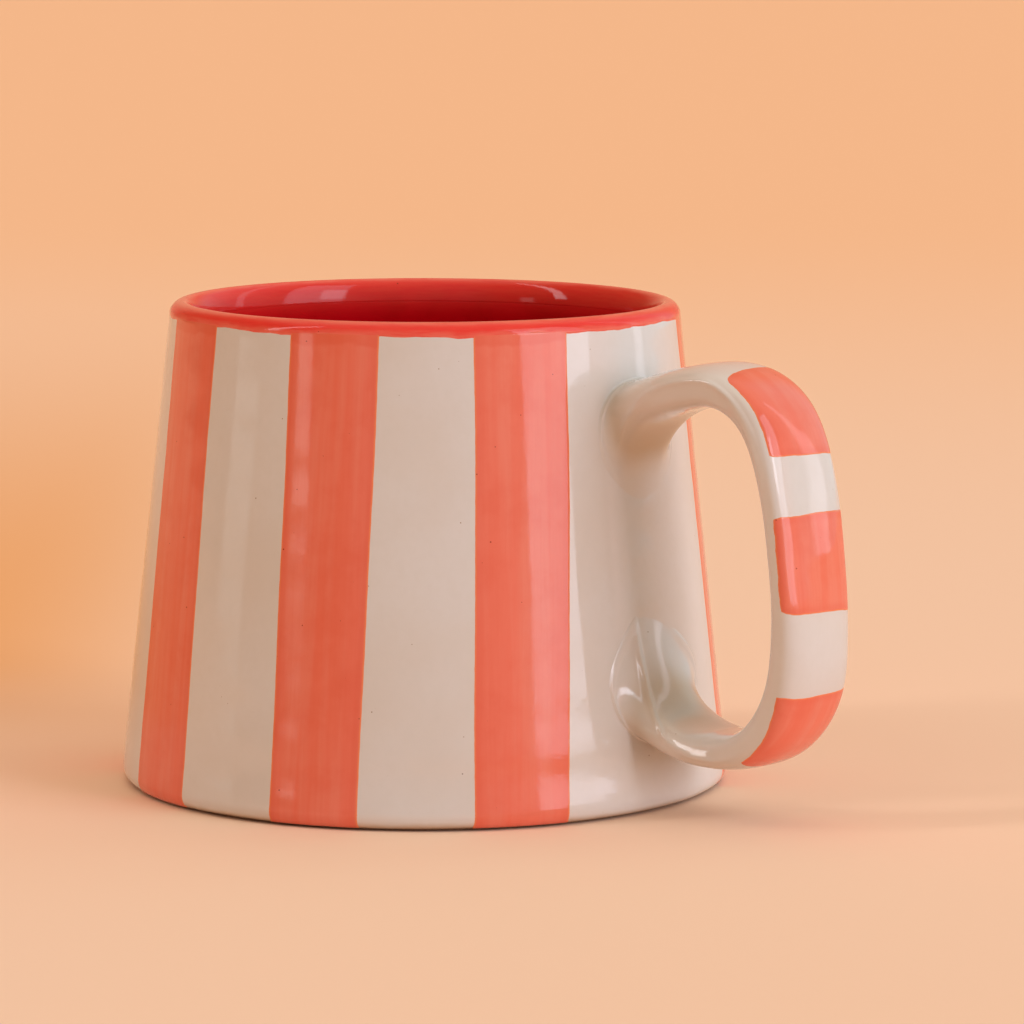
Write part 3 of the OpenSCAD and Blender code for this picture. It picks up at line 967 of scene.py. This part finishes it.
# How each band lies: how far its near edge goes round the strap at its start and its end, as a
# share of the whole way round, and how far its start and its end are moved down at the near and
# the far edge, in mm
BAND_LIE = {
    1: ((0.40, 0.44), (1.6, 0.6), (0.8, 2.2)),
    2: ((0.495, 0.495), (0.0, 0.7), (-1.1, 0.6)),
    3: ((0.495, 0.43), (0.0, 0.2), (0.3, 0.3)),
}


def make_band(number):
    """One band of colour across the strap's outer face, with brushed ends on its rounded edges."""
    node = f"handle_band_{number}"
    spread, start_lie, end_lie = BAND_LIE[number]
    low, high = box_mm(node)
    grid, normal = placed_handle(COAT)
    face = grid[:, SIDES // 4]
    within = np.all((face > low - 0.2) & (face < high + 0.4), axis=1)
    first, last = np.flatnonzero(within)[[0, -1]]
    rows, columns = 120, 90
    v = np.linspace(-1, 1, rows)[:, None] * np.ones(columns)
    u = np.sin(np.linspace(-1, 1, columns) * math.pi / 2)[None, :] * np.ones((rows, 1))
    step = np.linalg.norm(np.diff(face[first : last + 1], axis=0), axis=1).mean()
    wide = SIDES * (spread[0] + (spread[1] - spread[0]) * (v + 1) / 2 - 0.25)
    corner = 0.16 if number == 1 else 0.05
    round_v = v * (1 - np.where(v < 0, corner, 0.05) * np.abs(u) ** 8)
    round_u = u * (1 - 0.03 * np.abs(v) ** 10)
    near = (u + 1) / 2
    seed = 7 * number
    start_down = near * start_lie[0] + (1 - near) * start_lie[1] + 0.07 * wave(u * 8, 9, seed)
    end_down = near * end_lie[0] + (1 - near) * end_lie[1] + 0.07 * wave(u * 8, 9, seed + 1)
    start, end = first + start_down / step, last + end_down / step
    i = (start + end) / 2 + round_v * (end - start) / 2
    j = SIDES / 4 + round_u * wide + 0.25 * wave(v * 8, 6, seed + 2) * u
    place, outward = sample(grid, i, j), sample(normal, i, j)
    side = np.linalg.norm(place - np.roll(place, 1, 1), axis=-1)
    side[:, 0] = 0
    across = np.cumsum(side, 1)
    across_edge = np.minimum(across, across[:, -1:] - across)
    along = (v + 1) / 2 * (last - first) * step
    along_edge = np.minimum(along, along[-1:] - along)
    to_edge = np.minimum(across_edge, along_edge)
    front = place + outward * stroke_lift(to_edge)[..., None]
    back = place - outward * SUNK
    points, faces = sheet(front, back)
    brush = np.stack([across + 57.0 * number, along + 13.0, to_edge], -1).reshape(-1, 3)
    brush = np.concatenate([brush, brush])
    make_piece(f"band_{number}", points, faces, [node], "handle_band", coral, {"brush": brush})


make_cup_body()
make_outer_coat()
make_rim_band()
make_liner()
make_underside_coat()
for stripe_number in range(1, 9):
    make_stripe(stripe_number)
make_handle()
make_slip(True)
make_slip(False)
for band_number in range(1, 4):
    make_band(band_number)


# ---- Stage, lights and camera ----------------------------------------------------------------

AIM = Vector((0.0164, 0.0029, 0.0466))  # where the camera looks, in metres
AZIMUTH, ELEVATION = 37.02, 7.61  # where it stands, seen from there, in degrees
DISTANCE = 0.8672  # and how far off, in metres
LENS = 180.2
ROLL = 0.11
PAPER = (0.93, 0.645, 0.46)
PAPER_FAR = (0.95, 0.56, 0.32)
# Colour of the painted shadow of the mug on the paper
PAPER_SHADOW = (0.87, 0.43, 0.175)


def towards(azimuth, elevation):
    """Unit vector from the mug towards a direction seen from it, in degrees."""
    a, e = math.radians(azimuth), math.radians(elevation)
    return Vector((math.sin(a) * math.cos(e), -math.cos(a) * math.cos(e), math.sin(e)))


def turned_round(tree, where, degrees):
    """A direction's x, y and z, seen from that many degrees further round the mug."""
    around = {"Vector": where, "Angle": -math.radians(degrees)}
    turned_to = add(tree, "VectorRotate", around, rotation_type="Z_AXIS").outputs[0]
    return add(tree, "SeparateXYZ", {0: turned_to}).outputs


def make_floor():
    """A wide, flat sheet of pale peach paper, with a painted shadow, darker and warmer, to the left behind
    the mug.
    """
    around = 96
    radii = np.concatenate([[0.0], np.geomspace(0.05, 14, 30)])
    turn = np.arange(around) * TURN / around
    r = radii[:, None]
    points = ringed(r, 0 * r * turn, turn)
    mesh = bpy.data.meshes.new("paper_floor")
    mesh.from_pydata(points.reshape(-1, 3).tolist(), [], grid_faces(len(radii), around, False, True))
    mesh.shade_smooth()
    material, tree = new_material("peach_paper")
    where = add(tree, "TexCoord").outputs["Object"]
    away = add(tree, "VectorMath", {0: where}, operation="LENGTH").outputs["Value"]
    colour = blend(tree, between(tree, away, 0.15, 1.3), PAPER, PAPER_FAR)
    # A painted shadow of the mug, to its left and behind it
    x, y = turned_round(tree, where, AZIMUTH)[:2]
    left = between(tree, x, -0.10, -0.02, 1.0, 0.0)
    behind = maths(tree, "MULTIPLY", between(tree, y, 0.0, 0.13), between(tree, y, 0.15, 0.9, 1.0, 0.0))
    colour = blend(tree, maths(tree, "MULTIPLY", left, behind), colour, PAPER_SHADOW)
    shader = add(tree, "BsdfPrincipled", {"Base Color": colour, "Roughness": 0.9, "Specular IOR Level": 0.2})
    add(tree, "OutputMaterial", {"Surface": shader.outputs[0]})
    mesh.materials.append(material)
    floor = bpy.data.objects.new("paper_floor", mesh)
    bpy.context.scene.collection.objects.link(floor)


# Patches of sky: direction and half width in degrees round from the camera, lowest and highest
# elevation, softness of the edges, and light
PANES = [
    (0, 30, (-20, 55), 10, (0.30, 0.36, 0.35)),
    (60, 30, (-20, 20), 10, (1.32, 0.81, 0.72)),
    (60, 30, (20, 55), 10, (0.20, 0.36, 0.40)),
    (50, 7, (10, 30), 0.8, (3.8, 3.8, 4.2)),
    (120, 30, (-20, 55), 10, (0.58, 0.76, 0.77)),
    (180, 30, (-20, 55), 10, (0.86, 0.38, 0.22)),
    (-90, 60, (-20, 55), 10, (0.33, 0.17, 0.07)),
    (0, 400, (55, 200), 10, (1.16, 0.94, 0.71)),
    (61, 17, (-6, 48), 0.6, (2.3, 2.6, 3.1)),
    (110, 3, (-6, 48), 1.0, (1.28, 1.24, 1.38)),
    (-52.5, 3.5, (2.5, 13), 0.8, (2.2, 2.0, 1.9)),
    (-83.5, 6.5, (-4, 3.2), 1.0, (0.75, 0.85, 0.85)),
    (-73, 3.5, (12, 60), 0.8, (7.5, 7.1, 7.1)),
]


def pane(tree, away, middle, half, heights, soft):
    """1 inside a soft-edged patch of sky: degrees round from the camera, and above level."""
    x, y, z = turned_round(tree, away, AZIMUTH + middle)
    azimuth = maths(tree, "ABSOLUTE", maths(tree, "ARCTAN2", x, maths(tree, "MULTIPLY", y, -1.0)))
    azimuth = maths(tree, "MULTIPLY", azimuth, 360 / TURN)
    elevation = maths(tree, "MULTIPLY", maths(tree, "ARCSINE", z), 360 / TURN)
    share = between(tree, azimuth, half - soft, half + soft, 1.0, 0.0)
    low, high = heights
    share = maths(tree, "MULTIPLY", share, between(tree, elevation, low - soft, low + soft))
    return maths(tree, "MULTIPLY", share, between(tree, elevation, high - soft, high + soft, 1.0, 0.0))


def make_studio():
    """A soft, warm room with a tall window to the right and narrow ones to the left."""
    world = bpy.data.worlds.new("studio")
    world.use_nodes = True
    tree = world.node_tree
    tree.nodes.clear()
    away = add(tree, "TexCoord").outputs["Generated"]
    parts = [blend(tree, pane(tree, away, *place), (0, 0, 0), light) for *place, light in PANES]
    colour = parts[0]
    for part in parts[1:]:
        colour = add(tree, "VectorMath", {0: colour, 1: part}, operation="ADD").outputs[0]
    glow = add(tree, "Background", {"Color": colour, "Strength": 1.0})
    add(tree, "OutputWorld", {"Surface": glow.outputs[0]})
    bpy.context.scene.world = world


def make_camera():
    """The camera, at the photo's viewing angle."""
    lens = bpy.data.cameras.new("camera")
    lens.lens = LENS
    lens.sensor_width = 36
    lens.clip_start = 0.05
    camera = bpy.data.objects.new("camera", lens)
    back = towards(AZIMUTH, ELEVATION)
    turn = back.to_track_quat("Z", "Y").to_matrix().to_4x4()
    camera.matrix_world = Matrix.Translation(AIM + back * DISTANCE) @ turn @ Matrix.Rotation(
        math.radians(ROLL), 4, "Z"
    )
    bpy.context.scene.collection.objects.link(camera)
    bpy.context.scene.camera = camera


make_floor()
make_studio()
make_camera()
bpy.context.scene.view_settings.view_transform = "Standard"
